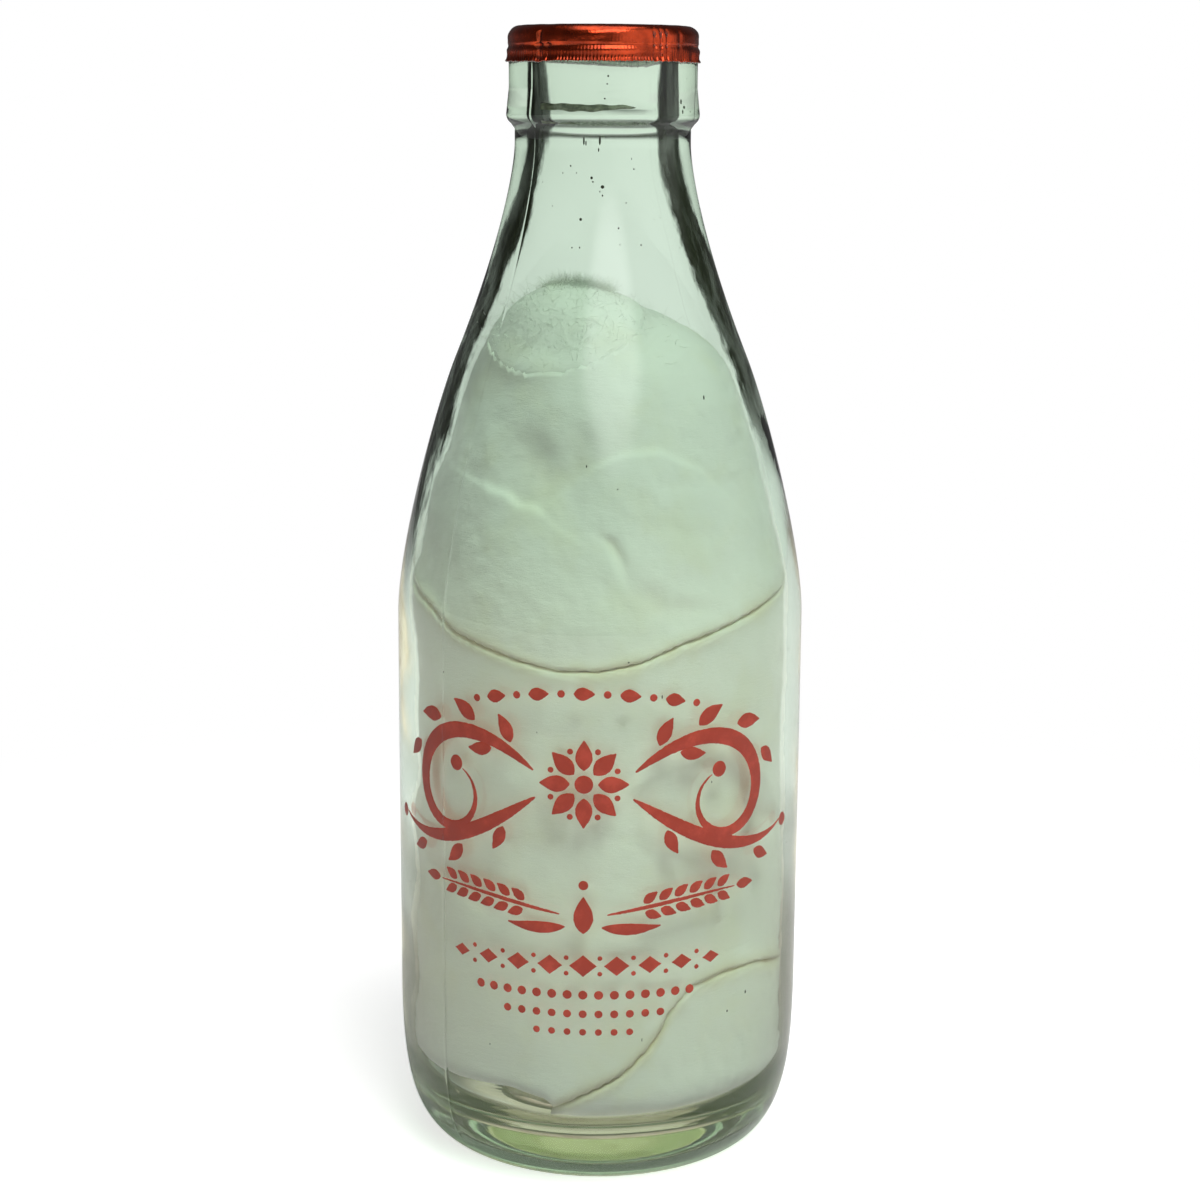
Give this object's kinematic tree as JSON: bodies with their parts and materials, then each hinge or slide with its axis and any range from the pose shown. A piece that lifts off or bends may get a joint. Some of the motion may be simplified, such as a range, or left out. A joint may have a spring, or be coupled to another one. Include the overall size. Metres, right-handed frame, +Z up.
{
  "type": "milk bottle",
  "caption": "Thick green-tinted glass milk bottle with a round shoulder, crimped red foil cap, white cotton wadding inside and a red fired enamel scroll ornament on the front.",
  "frame": {"origin": "centre of the base, on the plane that the bottle stands on", "axes": "+Z up along the bottle's axis through the mouth; -Y towards the printed front; +X to the right of the print as it is read"},
  "size_m": [0.078, 0.0781, 0.216],
  "materials": {
    "glass": "clear moulded glass with a pale green tint, glossy, slightly wavy",
    "foil": "thin aluminium foil with a red lacquer, bright and crinkled",
    "cotton": "loose white cotton wadding, matt and fibrous",
    "enamel": "red ceramic ink fired on the glass, semi-gloss"
  },
  "bodies": {
    "bottle": {"glass_bottle": "glass", "wad_tuft": "cotton", "wad_upper": "cotton", "wad_lower": "cotton", "wad_heel": "cotton", "print_arch": "enamel", "print_scroll_left": "enamel", "print_scroll_right": "enamel", "print_rosette": "enamel", "print_wheat": "enamel", "print_lozenges": "enamel", "print_dots": "enamel"},
    "cap": {"foil_cap": "foil"}
  },
  "joints": [
    {"name": "cap_lift", "type": "slide", "parent": "bottle", "child": "cap", "axis": [0, 0, 1], "range_m": [0, 0.04]}
  ]
}
